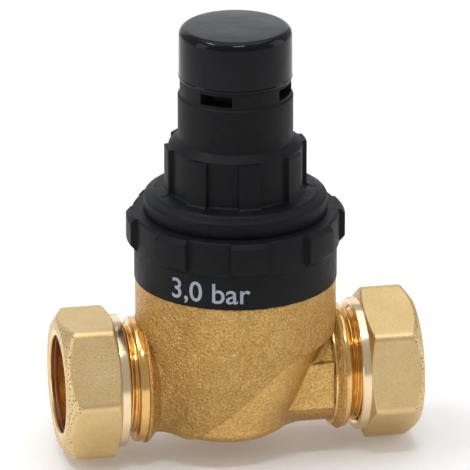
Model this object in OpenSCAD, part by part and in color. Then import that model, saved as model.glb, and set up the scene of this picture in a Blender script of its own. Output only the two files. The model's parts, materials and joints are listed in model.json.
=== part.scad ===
// In-line pressure reducing valve for water, with a compression joint at each end.
// Origin: centre of the inlet tube stop. +X runs with the flow, +Z runs up the bonnet.

/* [Overall] */
// Distance between the outer faces of the two compression nuts
face_to_face = 82.2; // [80:0.2:120]
// Height of the cup's rim above the tube axis
cup_top = 24; // [23:0.5:34]
// Height of the bonnet, from the cup's rim to the top of the cap
bonnet_h = 59.5; // [57:0.5:80]

/* [Tube ends] */
// Outside diameter of the copper tube that the ends take
tube_d = 22; // [18:0.5:27]
// Radial clearance between the tube and its socket
tube_gap = 0.1; // [0.05:0.01:0.2]
// Wall between the socket and the root of the body's thread
socket_wall = 1.1; // [0.9:0.1:2]
// Distance from the tube stop to the body's end face
socket_depth = 12.6; // [11:0.1:16]
// Pitch of the nut's thread
thread_pitch = 1.814; // [1:0.001:2.5]
// Depth of the body's thread
thread_depth = 0.9; // [0.5:0.05:1.2]
// Radial gap between the two threads' crests
thread_gap = 0.1; // [0.05:0.01:0.3]
// Length of each nut
nut_len = 14.5; // [14:0.1:20]
// Wall of the nut between its thread and its flats
nut_wall = 1.65; // [1:0.05:3]
// Thread left showing between a nut and the body's shoulder
thread_show = 2.3; // [2:0.1:6]
// Turn of the inlet nut's corners about the tube axis, in degrees
inlet_nut_turn = 28.5; // [0:0.5:60]
// Turn of the outlet nut's corners about the tube axis, in degrees
outlet_nut_turn = -9.6; // [-30:0.2:30]
// Length of each olive
olive_len = 3.8; // [3:0.1:4.5]
// How far an olive stands out of the tube's surface
olive_stand = 1.2; // [0.8:0.1:1.5]

/* [Body] */
// Wall of the cup beside the cartridge's thread
cup_wall = 2.8; // [2:0.1:4]
// Depth of the cup, from its rim to the ledge
cup_depth = 11; // [10.5:0.1:14]
// Height below the cup's rim where the outside starts to narrow
cup_straight = 12; // [8:0.5:13]
// Outside radius of the belly where its round bottom starts
belly_r = 18; // [15.5:0.1:22]
// Height of the round bottom's start, below the tube axis
belly_low = 8.35; // [7:0.05:12]
// Height of the round bottom itself
belly_drop = 6.2; // [5.5:0.1:10]
// Outside radius of the necks, past the tube's radius
neck_wall = 1.4; // [1:0.1:3]
// How far the cast collars stand out of the necks
collar_stand = 2.35; // [1:0.05:4]
// Width of each cast collar
collar_w = 1; // [0.8:0.1:3]
// Width of the turned shoulder between a collar and the thread
shoulder_w = 1.3; // [0.5:0.1:2]
// Radius of the water passages
passage_r = 8.5; // [6:0.1:9.5]
// Length of the spanner pads on the outlet neck
pad_len = 10.1; // [6:0.1:10.5]
// Height of the spanner pads
pad_h = 11; // [6:0.5:14]

/* [Cartridge] */
// Thickness of the wall between the two chambers
partition_t = 3.5; // [3.5:0.1:5]
// Height of that wall's underside above the tube axis
partition_z = 2; // [2:0.1:3]
// Wall of the cage between the seat and the sealing bore
seat_block_wall = 3.4; // [3:0.1:4.5]
// How far the strainer's chamber is wider than the sealing bore
strainer_room_step = 1; // [0.9:0.1:1.5]
// Depth of that chamber below the tube axis
strainer_room_z = 12; // [11.6:0.1:12.2]
// Wall of the upper chamber's ledge under the cartridge's flange
ledge_w = 5; // [4:0.1:7]
// Thickness of the cartridge cage's flange
cage_flange_t = 1.4; // [1:0.1:1.8]
// Thickness of the diaphragm
diaphragm_t = 1.2; // [0.8:0.1:1.4]
// Thickness of the slip ring
slip_ring_t = 0.6; // [0.4:0.1:1]
// Section diameter of the O-rings
o_ring_d = 1.6; // [1.2:0.1:2]
// Wall of the strainer's mesh
mesh_t = 0.4; // [0.3:0.05:0.6]

/* [Valve stem] */
// Diameter of the stem
stem_d = 4; // [3:0.1:5]
// Bore of the seat
seat_d = 10; // [9:0.1:12]
// Wall of the seat ring
seat_wall = 1.6; // [1.2:0.1:2]
// Travel of the stem from open to shut
stem_travel = 1.95; // [1:0.05:2]
// Diameter of the balancing piston
piston_d = 8; // [7:0.1:9]
// How far the plates that hold the diaphragm stand out past the spring
plate_lip = 1.7; // [1:0.1:2]
// Thickness of those plates
plate_t = 1.4; // [1:0.1:1.6]

/* [Spring and adjuster] */
// Outside diameter of the main spring
spring_d = 19.6; // [18:0.1:24]
// Radial room round the main spring in its housing
spring_room = 1; // [0.7:0.1:1.5]
// Diameter of the spring's wire
wire_d = 3; // [2:0.1:3.2]
// Number of turns in the spring
spring_turns = 9.5; // [6:0.5:11]
// Diameter of the adjusting screw
screw_d = 8; // [6:0.5:10]
// Pitch of the adjusting screw
screw_pitch = 1.25; // [0.8:0.05:1.5]
// Travel left above the upper spring plate, to slacken the spring
slacken_travel = 4; // [3:0.1:4.3]

/* [Carrier] */
// Height of the smooth label band
label_h = 7.7; // [6:0.1:10]
// Height of the large lugged ring
big_ring_h = 8.3; // [7:0.1:12]
// How far the label band stands out past the cup
label_stand = 0.2; // [0:0.05:1]
// How far the large ring stands out past the cup
big_ring_stand = 0.7; // [0.3:0.05:2]
// How far the large lugs stand out of their ring
big_lug_stand = 1.33; // [0.5:0.01:3]
// Bevel on the top edge of the large lugs
big_lug_bevel = 1.2; // [0.3:0.1:1.3]
// Width of the large lugs
big_lug_w = 9; // [5:0.1:12]
// Turn of the large lugs about the bonnet's axis, in degrees
big_lug_turn = -3.1; // [-22:0.1:22]
// Number of lugs on each ring
lug_count = 8; // [6:1:12]
// Width of the diaphragm's roll, between its plates and its clamped rim
roll_w = 4; // [3.6:0.1:6]
// Width of the clamped rim, out to the cup's bore
rim_w = 4.5; // [4:0.1:6]

/* [Spring housing] */
// Step from the large ring's radius in to the housing's flange
flange_step = 2.7; // [1.5:0.1:4]
// Height of the flange, with its sloping top
flange_h = 5.2; // [4:0.1:8]
// Height of the small lugged ring
small_ring_h = 12.1; // [10:0.1:16]
// How far the small lugged ring stands out past the barrel
small_ring_stand = 2.1; // [1.5:0.1:4]
// How far the small lugs stand out
small_lug_stand = 1.03; // [0.5:0.01:2]
// Width of the small lugs
small_lug_w = 5.2; // [3:0.1:7]
// Turn of the small lugs about the bonnet's axis, in degrees
small_lug_turn = 0.9; // [-22:0.1:22]
// Wall of the barrel round the spring
barrel_wall = 2.2; // [2:0.1:4]
// Height of the narrowed band under the cap
band_h = 4; // [3.9:0.1:6]
// How far that band and the cap lie inside the barrel's radius
band_step = 0.4; // [0.2:0.05:0.8]
// Width of the windows below the cap
window_w = 7.4; // [4:0.1:9]
// Height of the windows
window_h = 2.5; // [1.5:0.1:3]
// Turn of the windows about the bonnet's axis, in degrees
window_turn = -32; // [-45:1:45]
// Height of the barrel's head, from the spring's bore to the cap
head_h = 7.8; // [7:0.1:9]

/* [Cap] */
// Height of the cap
cap_h = 11.9; // [11.7:0.1:18]
// Wall of the cap
cap_wall = 1.7; // [1.2:0.1:2]
// Rounding of the cap's top edge
cap_round = 1.8; // [0.5:0.1:2.5]
// Height of the spigot that the cap is pressed on
spigot_h = 7.7; // [5:0.1:9]

/* [Fits] */
// Radial clearance of pieces that slide or turn in each other
slide_gap = 0.05; // [0.02:0.01:0.1]
// Radial clearance of pieces fixed in each other
fixed_gap = 0.04; // [0.02:0.01:0.1]
// Clearance between a piece and one that it never touches
free_gap = 0.4; // [0.3:0.05:0.6]

/* [Hidden] */
$fn = 64;

// small overlap that lets a cut run past a face
over = 1;

// tube ends, as distances from the bonnet's axis
half_len = face_to_face / 2;
tube_bore_r = tube_d / 2 + tube_gap;
nut_inner = half_len - nut_len;
shoulder_end = nut_inner - thread_show;
collar_end = shoulder_end - shoulder_w;
collar_start = collar_end - collar_w;
stop_x = collar_start;
body_end = stop_x + socket_depth;
neck_r = tube_d / 2 + neck_wall;
collar_r = neck_r + collar_stand;
shoulder_step = 0.45;
shoulder_r = collar_r - shoulder_step;
collar_cone = 1.5;
pad_from_collar = 1.7;
pad_stand = 0.2;
thread_relief = 0.5;
end_relief = 0.6;
thread_root_r = tube_bore_r + socket_wall;
thread_r = thread_root_r + thread_depth;
nut_crest_r = thread_r + thread_gap;
nut_thread_depth = thread_depth * 2 / 3;
nut_root_r = nut_crest_r + nut_thread_depth;
nut_flat_r = nut_root_r + nut_wall;
nut_corner_r = nut_flat_r / cos(30);
nut_spigot = 2;
nut_lip = 1.5;
nut_hole_gap = 0.1;
nut_hole_r = tube_bore_r + nut_hole_gap;
nut_chamfer = nut_corner_r - nut_flat_r;
nut_face_chamfer = 2.4;
nut_face_step = 0.95;
nut_face_r = nut_flat_r - nut_face_step;
mouth_cone = 0.9;
mouth_r = tube_bore_r + mouth_cone;
mouth_depth = 1.2;
olive_from_body = 0.8;
olive_start = body_end + olive_from_body;
spigot_step = 0.25;
nut_spigot_r = nut_flat_r - spigot_step;
spigot_edge = 0.3;

// radii that follow from the spring, from the inside out
spring_bore_r = spring_d / 2 + spring_room;
barrel_r = spring_bore_r + barrel_wall;
small_ring_r = barrel_r + small_ring_stand;
plate_r = spring_d / 2 + plate_lip;
carrier_bore_r = plate_r + roll_w;
cup_bore_r = carrier_bore_r + rim_w;
cup_r = cup_bore_r + cup_wall;

// the body and its chambers
ledge_z = cup_top - cup_depth;
room_r = cup_bore_r - ledge_w;
seal_bore_r = seat_d / 2 + seat_wall + seat_block_wall;
strainer_room_r = seal_bore_r + strainer_room_step;
partition_top = partition_z + partition_t;
belly_bottom = -belly_low - belly_drop;
room_gap = 2.1;
outlet_way_r = 6;
outlet_way_z = 4;
inlet_way_z = -3;

// the cartridge, from the ledge up
cage_r = cup_bore_r - free_gap;
diaphragm_bottom = ledge_z + cage_flange_t;
diaphragm_top = diaphragm_bottom + diaphragm_t;
carrier_bottom = diaphragm_top + slip_ring_t;
diaphragm_drop = 1;

// the carrier and the spring housing
label_r = cup_r + label_stand;
big_ring_r = cup_r + big_ring_stand;
big_lug_r = big_ring_r + big_lug_stand;
label_top = cup_top + label_h;
ring_top = label_top + big_ring_h;
flange_r = big_ring_r - flange_step;
flange_overhang = 3;
housing_spigot_r = flange_r - flange_overhang;
housing_lift = 2.5;
housing_bottom = label_top + housing_lift;
flange_edge_r = 1.2;
flange_slope = 0.6;
flange_corner_z = ring_top + flange_h - flange_slope - flange_edge_r;
ring_base = ring_top + flange_h;
small_lug_r = small_ring_r + small_lug_stand;
small_ring_bevel = 1.6;
small_ring_top = ring_base + small_ring_h;
cap_top = cup_top + bonnet_h;
barrel_top = cap_top - cap_h;
head_z = barrel_top - head_h;
band_z = barrel_top - band_h;
cap_r = barrel_r - band_step;
cap_bead = 0.3;
spigot_r = cap_r - cap_wall - slide_gap;
spigot_wall = 1.6;
spigot_lead = 0.5;
window_drop = 0.8;
screw_r = screw_d / 2;
screw_above_barrel = 4.5;
screw_thread_depth = 0.5;
screw_socket_af = 4;
screw_socket_h = 3.5;
bush_wall = 2.6;
bush_r = screw_r + bush_wall;
bush_drop = 0.4;
bush_flange_t = 1.2;
boss_wall = 1;

// the moving stack
stem_r = stem_d / 2;
dia_centre_bottom = diaphragm_bottom - diaphragm_drop;
dia_centre_top = dia_centre_bottom + diaphragm_t;
spring_seat_z = dia_centre_top + plate_t;
plate_gap = 0.5;
upper_plate_top = head_z - plate_gap - slacken_travel;
upper_plate_t = 2;
upper_plate_bottom = upper_plate_top - upper_plate_t;
plate_boss_h = 2;
lower_boss_h = 1.5;
wire_r = wire_d / 2;
spring_mid_r = spring_d / 2 - wire_r;
boss_r = spring_mid_r - wire_r - free_gap;
stem_nut_af = 7;
stem_nut_h = 3.2;
stem_end = 1.3;
stem_collar_w = 1.4;
stem_collar_h = 2;
seat_drop = 0.8;
seat_h = 3.4;
seat_face_z = partition_z - seat_drop;
shut_gap = 0.05;
washer_top = seat_face_z - stem_travel - shut_gap;
washer_t = 1.7;
holder_rim = 1;
holder_h = 5.6;
holder_r = seat_d / 2 + seat_wall;
holder_bottom = washer_top - holder_h;
piston_r = piston_d / 2;
guide_gap = 0.3;
guide_wall = 1.4;
guide_top = holder_bottom - guide_gap;
guide_lift = 0.8;
guide_floor = -strainer_room_z + guide_lift;
piston_lift = 0.6;
piston_bottom = guide_floor + piston_lift;
piston_groove_h = 1.6;
groove_gap = 0.1;
vent_r = 0.7;
block_r = seal_bore_r - fixed_gap;
block_rise = 1.8;
block_top = partition_top + block_rise;
leg_w = 5;
rib_w = 2.4;
room_wall = 1.8;
carrier_pitch = 1.5;
carrier_thread_depth = 0.8;
carrier_thread_lift = 1.4;
ring_bevel = 0.6;
ring_edge = 0.4;
big_lug_undercut = 1.4;
small_lug_bevel = 0.6;

// points on an ellipse's arc, for the turned profiles
function arc(cr, cz, rr, rz, from, to, steps) = [
    for (i = [0 : steps])
        let (a = from + (to - from) * i / steps)
            [cr + rr * cos(a), cz + rz * sin(a)]
];

// outline of a row of thread ridges, as [radius, distance]
function ridges(root, crest, start, pitch, count) = [
    for (i = [0 : count - 1])
        for (p = [[root, 0.1], [crest, 0.42], [crest, 0.58], [root, 0.9]])
            [p[0], start + (i + p[1]) * pitch]
];

// everything is drawn round the bonnet's axis and moved so that the inlet's stop is the origin
module placed() {
    translate([stop_x, 0, 0]) children();
}

// turns a profile about the tube axis; side is 1 at the outlet and -1 at the inlet
module turned_end(side, profile) {
    flip = side > 0 ? 0 : 1;
    mirror([flip, 0, 0]) rotate([0, 90, 0]) rotate_extrude() polygon(profile);
}

module tube(outer, inner, from, to) {
    difference() {
        translate([0, 0, from]) cylinder(r = outer, h = to - from);
        translate([0, 0, from - over]) cylinder(r = inner, h = to - from + 2 * over);
    }
}

module o_ring(r, z) {
    translate([0, 0, z]) rotate_extrude() translate([r, 0]) circle(d = o_ring_d);
}

module lugs(count, turn, width, base, outer, from, to, low, high) {
    reach = outer + over;
    intersection() {
        rotate_extrude() polygon([
            [base - 2, from],
            [base, from],
            [outer, from + low],
            [outer, to - high],
            [outer - high, to],
            [base - 2, to]
        ]);
        for (i = [0 : count - 1])
            rotate(turn + i * 360 / count)
                translate([0, -width / 2, from - over]) cube([reach, width, to - from + 2 * over]);
    }
}

module end_outside(side) {
    first = shoulder_end + thread_relief;
    count = floor((body_end - end_relief - first) / thread_pitch);
    turned_end(side, concat(
        [
            [0, 0],
            [neck_r, 0],
            [neck_r, collar_start - collar_cone],
            [collar_r - shoulder_step, collar_start],
            [collar_r, collar_start + collar_w / 2],
            [collar_r - shoulder_step / 2, collar_end],
            [shoulder_r, collar_end],
            [shoulder_r, shoulder_end],
            [thread_root_r, shoulder_end]
        ],
        ridges(thread_root_r, thread_r, first, thread_pitch, count),
        [[thread_root_r, body_end], [0, body_end]]
    ));
}

module end_inside(side) {
    turned_end(side, [
        [0, stop_x],
        [tube_bore_r, stop_x],
        [tube_bore_r, body_end - mouth_depth],
        [mouth_r, body_end],
        [mouth_r, body_end + over],
        [0, body_end + over]
    ]);
}

module valve_body() {
    pad_y = neck_r + pad_stand;
    color("darkgoldenrod") placed() difference() {
        union() {
            rotate_extrude() polygon(concat(
                arc(0, -belly_low, belly_r, belly_drop, -90, 0, 10),
                [[cup_r, cup_top - cup_straight], [cup_r, cup_top], [0, cup_top]]
            ));
            end_outside(1);
            end_outside(-1);
            translate([collar_start - pad_from_collar - pad_len, -pad_y, -pad_h / 2])
                cube([pad_len, 2 * pad_y, pad_h]);
        }
        translate([0, 0, ledge_z]) cylinder(r = cup_bore_r, h = cup_depth + over);
        translate([0, 0, partition_top]) cylinder(r = room_r, h = ledge_z - partition_top + over);
        translate([0, 0, partition_z - over]) cylinder(r = seal_bore_r, h = partition_t + 2 * over);
        translate([0, 0, -strainer_room_z])
            cylinder(r = strainer_room_r, h = strainer_room_z + partition_z);
        end_inside(1);
        end_inside(-1);
        translate([strainer_room_r + room_gap, 0, 0])
            rotate([0, 90, 0]) cylinder(r = passage_r, h = stop_x - strainer_room_r);
        translate([strainer_room_r + room_gap, 0, outlet_way_z])
            rotate([0, 90, 0]) cylinder(r = outlet_way_r, h = stop_x - strainer_room_r - 2 * room_gap);
        translate([-stop_x - over, 0, 0])
            rotate([0, 90, 0]) cylinder(r = passage_r, h = stop_x + over - room_r - room_gap);
        translate([-room_r - 2 * room_gap, 0, inlet_way_z])
            rotate([0, 90, 0]) cylinder(r = outlet_way_r, h = room_r);
    }
}

module cartridge_carrier() {
    thread_z = carrier_bottom + carrier_thread_lift;
    thread_out = cup_bore_r - fixed_gap;
    thread_in = thread_out - carrier_thread_depth;
    count = floor((cup_top - carrier_thread_depth - thread_z) / carrier_pitch);
    color("black") placed() difference() {
        union() {
            rotate_extrude() polygon(concat(
                [[0, carrier_bottom], [thread_in, carrier_bottom], [thread_in, thread_z]],
                ridges(thread_in, thread_out, thread_z, carrier_pitch, count),
                [
                    [thread_in, cup_top],
                    [label_r, cup_top],
                    [label_r, label_top],
                    [big_ring_r, label_top + ring_bevel],
                    [big_ring_r, ring_top - ring_edge],
                    [big_ring_r - ring_edge, ring_top],
                    [0, ring_top]
                ]
            ));
            lugs(lug_count, big_lug_turn, big_lug_w, big_ring_r, big_lug_r,
                label_top + ring_bevel, ring_top, big_lug_undercut, big_lug_bevel);
        }
        translate([0, 0, carrier_bottom - over])
            cylinder(r = carrier_bore_r, h = ring_top - carrier_bottom + 2 * over);
        translate([0, 0, housing_bottom - 0.2])
            cylinder(r = housing_spigot_r + fixed_gap, h = ring_top - housing_bottom + over);
    }
}

module spring_housing() {
    window_z = barrel_top - window_drop - window_h;
    pocket_in = bush_r + boss_wall;
    pocket_out = spigot_r - spigot_wall;
    edge = flange_edge_r;
    color("black") placed() difference() {
        union() {
            rotate_extrude() polygon(concat(
                [
                    [0, housing_bottom],
                    [housing_spigot_r, housing_bottom],
                    [housing_spigot_r, ring_top],
                    [flange_r, ring_top],
                    [flange_r, flange_corner_z]
                ],
                arc(flange_r - edge, flange_corner_z, edge, edge, 15, 90, 5),
                [
                    [small_lug_r, ring_base],
                    [small_ring_r, ring_base],
                    [small_ring_r, small_ring_top - small_ring_bevel],
                    [barrel_r, small_ring_top],
                    [barrel_r, band_z - band_step / 2],
                    [cap_r, band_z + band_step / 2],
                    [cap_r, barrel_top],
                    [spigot_r, barrel_top],
                    [spigot_r, barrel_top + spigot_h - spigot_lead],
                    [spigot_r - spigot_lead, barrel_top + spigot_h],
                    [0, barrel_top + spigot_h]
                ]
            ));
            lugs(lug_count, small_lug_turn, small_lug_w, small_ring_r, small_lug_r,
                ring_base, small_ring_top - small_ring_bevel, 0, small_lug_bevel);
        }
        translate([0, 0, housing_bottom - over])
            cylinder(r = spring_bore_r, h = head_z - housing_bottom + over);
        translate([0, 0, housing_bottom - over])
            cylinder(r = carrier_bore_r - 2, h = ring_top - housing_bottom + over);
        translate([0, 0, head_z - over]) cylinder(r = screw_r + free_gap, h = head_h + over);
        translate([0, 0, head_z + bush_flange_t])
            cylinder(r = bush_r + fixed_gap, h = head_h + spigot_h + over);
        tube(pocket_out, pocket_in, head_z + 2, barrel_top + over);
        translate([0, 0, barrel_top]) cylinder(r = pocket_out, h = spigot_h + over);
        for (i = [0 : 3])
            rotate(window_turn + i * 90)
                translate([pocket_in + over, -window_w / 2, window_z])
                    cube([barrel_r, window_w, window_h]);
    }
}

module screw_bush() {
    color("goldenrod") placed()
        tube(bush_r, screw_r + slide_gap, head_z + bush_flange_t, barrel_top - bush_drop);
}

module protective_cap() {
    inner_r = cap_r - cap_wall;
    color("dimgray") placed() rotate_extrude() polygon(concat(
        [
            [inner_r, barrel_top],
            [cap_r, barrel_top],
            [cap_r + cap_bead, barrel_top + cap_bead],
            [cap_r + cap_bead, barrel_top + 2 * cap_bead],
            [cap_r, barrel_top + 4 * cap_bead]
        ],
        arc(cap_r - cap_round, cap_top - cap_round, cap_round, cap_round, 0, 90, 6),
        [
            [0, cap_top],
            [0, cap_top - cap_wall],
            [inner_r - cap_wall / 2, cap_top - cap_wall],
            [inner_r, cap_top - 1.5 * cap_wall]
        ]
    ));
}

module adjusting_screw() {
    screw_top = barrel_top + screw_above_barrel;
    first = head_z - 3;
    count = floor((screw_top - screw_thread_depth - first) / screw_pitch);
    root = screw_r - screw_thread_depth;
    color("silver") placed() difference() {
        rotate_extrude() polygon(concat(
            [[0, upper_plate_top], [root, upper_plate_top], [root, first]],
            ridges(root, screw_r, first, screw_pitch, count),
            [[root, screw_top], [0, screw_top]]
        ));
        translate([0, 0, screw_top - screw_socket_h])
            cylinder(d = screw_socket_af / cos(30), h = screw_socket_h + over, $fn = 6);
    }
}

module upper_spring_plate() {
    color("silver") placed() union() {
        translate([0, 0, upper_plate_bottom])
            cylinder(r = spring_bore_r - free_gap, h = upper_plate_top - upper_plate_bottom);
        translate([0, 0, upper_plate_bottom - plate_boss_h]) cylinder(r = boss_r, h = plate_boss_h + over);
    }
}

module main_spring() {
    per_turn = 24;
    sides = 8;
    height = upper_plate_bottom - spring_seat_z - wire_d;
    steps = round(spring_turns * per_turn);
    closed = wire_d * 1.03;
    free_pitch = (height - 2 * closed) / (spring_turns - 2);
    rise = function (t)
        t < 1 ? t * closed
        : t > spring_turns - 1 ? height - (spring_turns - t) * closed
        : closed + (t - 1) * free_pitch;
    points = [
        for (i = [0 : steps])
            let (t = i / per_turn, a = 360 * t, z = spring_seat_z + wire_r + rise(t))
                for (k = [0 : sides - 1])
                    let (b = 360 * (k + 0.5) / sides, r = spring_mid_r + wire_r * cos(b))
                        [r * cos(a), r * sin(a), z + wire_r * sin(b)]
    ];
    walls = [
        for (i = [0 : steps - 1])
            for (k = [0 : sides - 1])
                let (n = (k + 1) % sides, p = i * sides, q = p + sides)
                    [p + k, p + n, q + n, q + k]
    ];
    first_end = [for (k = [sides - 1 : -1 : 0]) k];
    last_end = [for (k = [0 : sides - 1]) steps * sides + k];
    color("gray") placed() polyhedron(points, concat(walls, [first_end, last_end]), convexity = 10);
}

module lower_spring_plate() {
    color("silver") placed() difference() {
        union() {
            translate([0, 0, dia_centre_top]) cylinder(r = plate_r, h = plate_t);
            translate([0, 0, dia_centre_top]) cylinder(r = boss_r, h = plate_t + lower_boss_h);
        }
        translate([0, 0, dia_centre_top - over])
            cylinder(r = stem_r + fixed_gap, h = plate_t + lower_boss_h + 2 * over);
    }
}

module stem_nut() {
    nut_z = spring_seat_z + lower_boss_h;
    color("silver") placed() difference() {
        translate([0, 0, nut_z]) cylinder(r = stem_nut_af / 2 / cos(30), h = stem_nut_h, $fn = 6);
        translate([0, 0, nut_z - over]) cylinder(r = stem_r + fixed_gap, h = stem_nut_h + 2 * over);
    }
}

module diaphragm() {
    hub_r = plate_r + 0.5;
    roll_out = carrier_bore_r - free_gap;
    mid_r = (hub_r + roll_out) / 2;
    wave = roll_out - mid_r;
    color("dimgray") placed() rotate_extrude() polygon(concat(
        [[stem_r + fixed_gap, dia_centre_bottom], [hub_r - free_gap, dia_centre_bottom]],
        arc(mid_r, diaphragm_bottom, wave * 0.55, wave * 0.35, 180, 0, 6),
        [[cage_r, diaphragm_bottom], [cage_r, diaphragm_top], [roll_out, diaphragm_top]],
        arc(mid_r, diaphragm_top, wave * 0.9, wave * 0.6, 15, 165, 6),
        [[hub_r, dia_centre_top], [stem_r + fixed_gap, dia_centre_top]]
    ));
}

module slip_ring() {
    color("white") placed() tube(cage_r, carrier_bore_r, diaphragm_top, carrier_bottom);
}

module diaphragm_washer() {
    color("silver") placed()
        tube(plate_r - 0.5, stem_r + fixed_gap, dia_centre_bottom - plate_t, dia_centre_bottom);
}

module valve_stem() {
    collar_z = dia_centre_bottom - plate_t;
    stem_top = spring_seat_z + lower_boss_h + stem_nut_h + stem_end;
    color("silver") placed() difference() {
        rotate_extrude() polygon([
            [0, washer_top - washer_t],
            [stem_r, washer_top - washer_t],
            [stem_r, collar_z - stem_collar_h],
            [stem_r + stem_collar_w, collar_z - stem_collar_h],
            [stem_r + stem_collar_w, collar_z],
            [stem_r, collar_z],
            [stem_r, stem_top],
            [0, stem_top]
        ]);
        translate([0, 0, holder_bottom]) cylinder(r = vent_r, h = partition_top + 3 - holder_bottom);
        translate([-stem_r - over, 0, partition_top + 2])
            rotate([0, 90, 0]) cylinder(r = vent_r, h = 2 * (stem_r + over));
    }
}

module disc_holder() {
    groove_z = piston_bottom + piston_groove_h;
    groove_r = piston_r + slide_gap / 2 - o_ring_d - fixed_gap;
    floor_z = washer_top - washer_t;
    color("goldenrod") placed() difference() {
        rotate_extrude() polygon([
            [0, piston_bottom],
            [piston_r, piston_bottom],
            [piston_r, groove_z - o_ring_d / 2 - groove_gap],
            [groove_r, groove_z - o_ring_d / 2 - groove_gap],
            [groove_r, groove_z + o_ring_d / 2 + groove_gap],
            [piston_r, groove_z + o_ring_d / 2 + groove_gap],
            [piston_r, holder_bottom],
            [holder_r + holder_rim, holder_bottom],
            [holder_r + holder_rim, washer_top - 0.5],
            [holder_r, washer_top - 0.5],
            [holder_r, floor_z],
            [0, floor_z]
        ]);
        translate([0, 0, piston_bottom - over]) cylinder(r = vent_r, h = floor_z - piston_bottom + 2 * over);
    }
}

module seat_washer() {
    color("dimgray") placed()
        tube(holder_r - fixed_gap, stem_r + fixed_gap, washer_top - washer_t, washer_top);
}

module seat_ring() {
    color("lightgray") placed() rotate_extrude() polygon([
        [seat_d / 2, seat_face_z + 0.2],
        [seat_d / 2 + 0.3, seat_face_z],
        [seat_d / 2 + 0.7, seat_face_z],
        [seat_d / 2 + 1, seat_face_z + 0.8],
        [seat_d / 2 + seat_wall, seat_face_z + 0.8],
        [seat_d / 2 + seat_wall, seat_face_z + seat_h],
        [seat_d / 2, seat_face_z + seat_h]
    ]);
}

module cartridge_cage() {
    seat_r = seat_d / 2 + seat_wall + fixed_gap;
    groove_z = partition_z + partition_t / 2;
    groove_r = seal_bore_r - o_ring_d - 2 * fixed_gap;
    leg_out = room_r - free_gap;
    rib_out = strainer_room_r - free_gap - mesh_t - fixed_gap;
    rib_in = holder_r + holder_rim + free_gap;
    guide_r = piston_r + slide_gap;
    color("ivory") placed() difference() {
        union() {
            // flange that lies on the body's ledge
            translate([0, 0, ledge_z]) cylinder(r = cage_r, h = cage_flange_t);
            // legs between the flange and the seat's block
            intersection() {
                translate([0, 0, block_top - over])
                    cylinder(r = leg_out, h = ledge_z - block_top + 2 * over);
                for (i = [0 : 3])
                    rotate(45 + i * 90)
                        translate([0, -leg_w / 2, block_top - over])
                            cube([leg_out + over, leg_w, ledge_z - block_top + 2 * over]);
            }
            // plate over the partition, and the block that seals in it
            translate([0, 0, partition_top + 0.1]) cylinder(r = leg_out, h = block_top - partition_top - 0.1);
            translate([0, 0, partition_z - 0.3]) cylinder(r = block_r, h = block_top - partition_z + 0.3);
            // ribs that carry the strainer, and the floor below it
            intersection() {
                translate([0, 0, guide_floor]) cylinder(r = rib_out, h = partition_z - guide_floor);
                for (i = [0 : 3])
                    rotate(45 + i * 90)
                        translate([rib_in, -rib_w / 2, guide_floor])
                            cube([rib_out, rib_w, partition_z - guide_floor]);
            }
            translate([0, 0, guide_floor - 0.5]) cylinder(r = rib_out, h = 1.1);
            translate([0, 0, guide_floor]) cylinder(r = guide_r + guide_wall, h = guide_top - guide_floor);
        }
        // room for the diaphragm's washer
        translate([0, 0, block_top]) cylinder(r = leg_out - room_wall, h = ledge_z + cage_flange_t);
        // seat
        translate([0, 0, seat_face_z]) cylinder(r = seat_r, h = seat_h);
        translate([0, 0, seat_face_z]) cylinder(r = seat_d / 2 + 0.6, h = block_top);
        // groove for the O-ring
        tube(seal_bore_r + over, groove_r, groove_z - o_ring_d / 2 - 0.15, groove_z + o_ring_d / 2 + 0.15);
        // guide for the balancing piston
        translate([0, 0, guide_floor + 0.3]) cylinder(r = guide_r, h = guide_top - guide_floor + over);
    }
}

module cage_o_ring() {
    color("black") placed()
        o_ring(seal_bore_r - o_ring_d / 2 - fixed_gap, partition_z + partition_t / 2);
}

module balance_o_ring() {
    color("black") placed()
        o_ring(piston_r + slide_gap / 2 - o_ring_d / 2, piston_bottom + piston_groove_h);
}

module strainer_mesh() {
    outer = strainer_room_r - free_gap;
    color("silver") placed() tube(outer, outer - mesh_t, guide_floor - 0.5, partition_z - 0.1);
}

module nut(side, turn) {
    chamfer_in = nut_chamfer * 0.55;
    count = floor((nut_len - nut_lip - 5.5) / thread_pitch);
    spigot_end = nut_inner + nut_spigot;
    seat_start = half_len - nut_lip - (nut_crest_r - nut_hole_r);
    color("khaki") placed() difference() {
        union() {
            turned_end(side, [
                [0, nut_inner],
                [nut_spigot_r - spigot_edge, nut_inner],
                [nut_spigot_r, nut_inner + spigot_edge],
                [nut_spigot_r, spigot_end + over],
                [0, spigot_end + over]
            ]);
            intersection() {
                mirror([side > 0 ? 0 : 1, 0, 0]) translate([spigot_end, 0, 0])
                    rotate([0, 90, 0]) rotate(turn)
                        cylinder(r = nut_corner_r, h = nut_len - nut_spigot, $fn = 6);
                turned_end(side, [
                    [0, spigot_end],
                    [nut_flat_r, spigot_end],
                    [nut_corner_r + 0.1, spigot_end + chamfer_in],
                    [nut_corner_r + 0.1, half_len - nut_face_chamfer],
                    [nut_face_r, half_len],
                    [0, half_len]
                ]);
            }
        }
        turned_end(side, concat(
            [
                [0, nut_inner - over],
                [nut_root_r, nut_inner - over],
                [nut_root_r, nut_inner],
                [nut_crest_r, nut_inner + nut_thread_depth]
            ],
            ridges(nut_crest_r, nut_root_r, nut_inner + 1, thread_pitch, count),
            [
                [nut_crest_r, seat_start],
                [nut_hole_r, half_len - nut_lip],
                [nut_hole_r, half_len - 0.5],
                [nut_hole_r + 0.6, half_len + 0.1],
                [nut_hole_r + 0.6, half_len + over],
                [0, half_len + over]
            ]
        ));
    }
}

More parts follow.
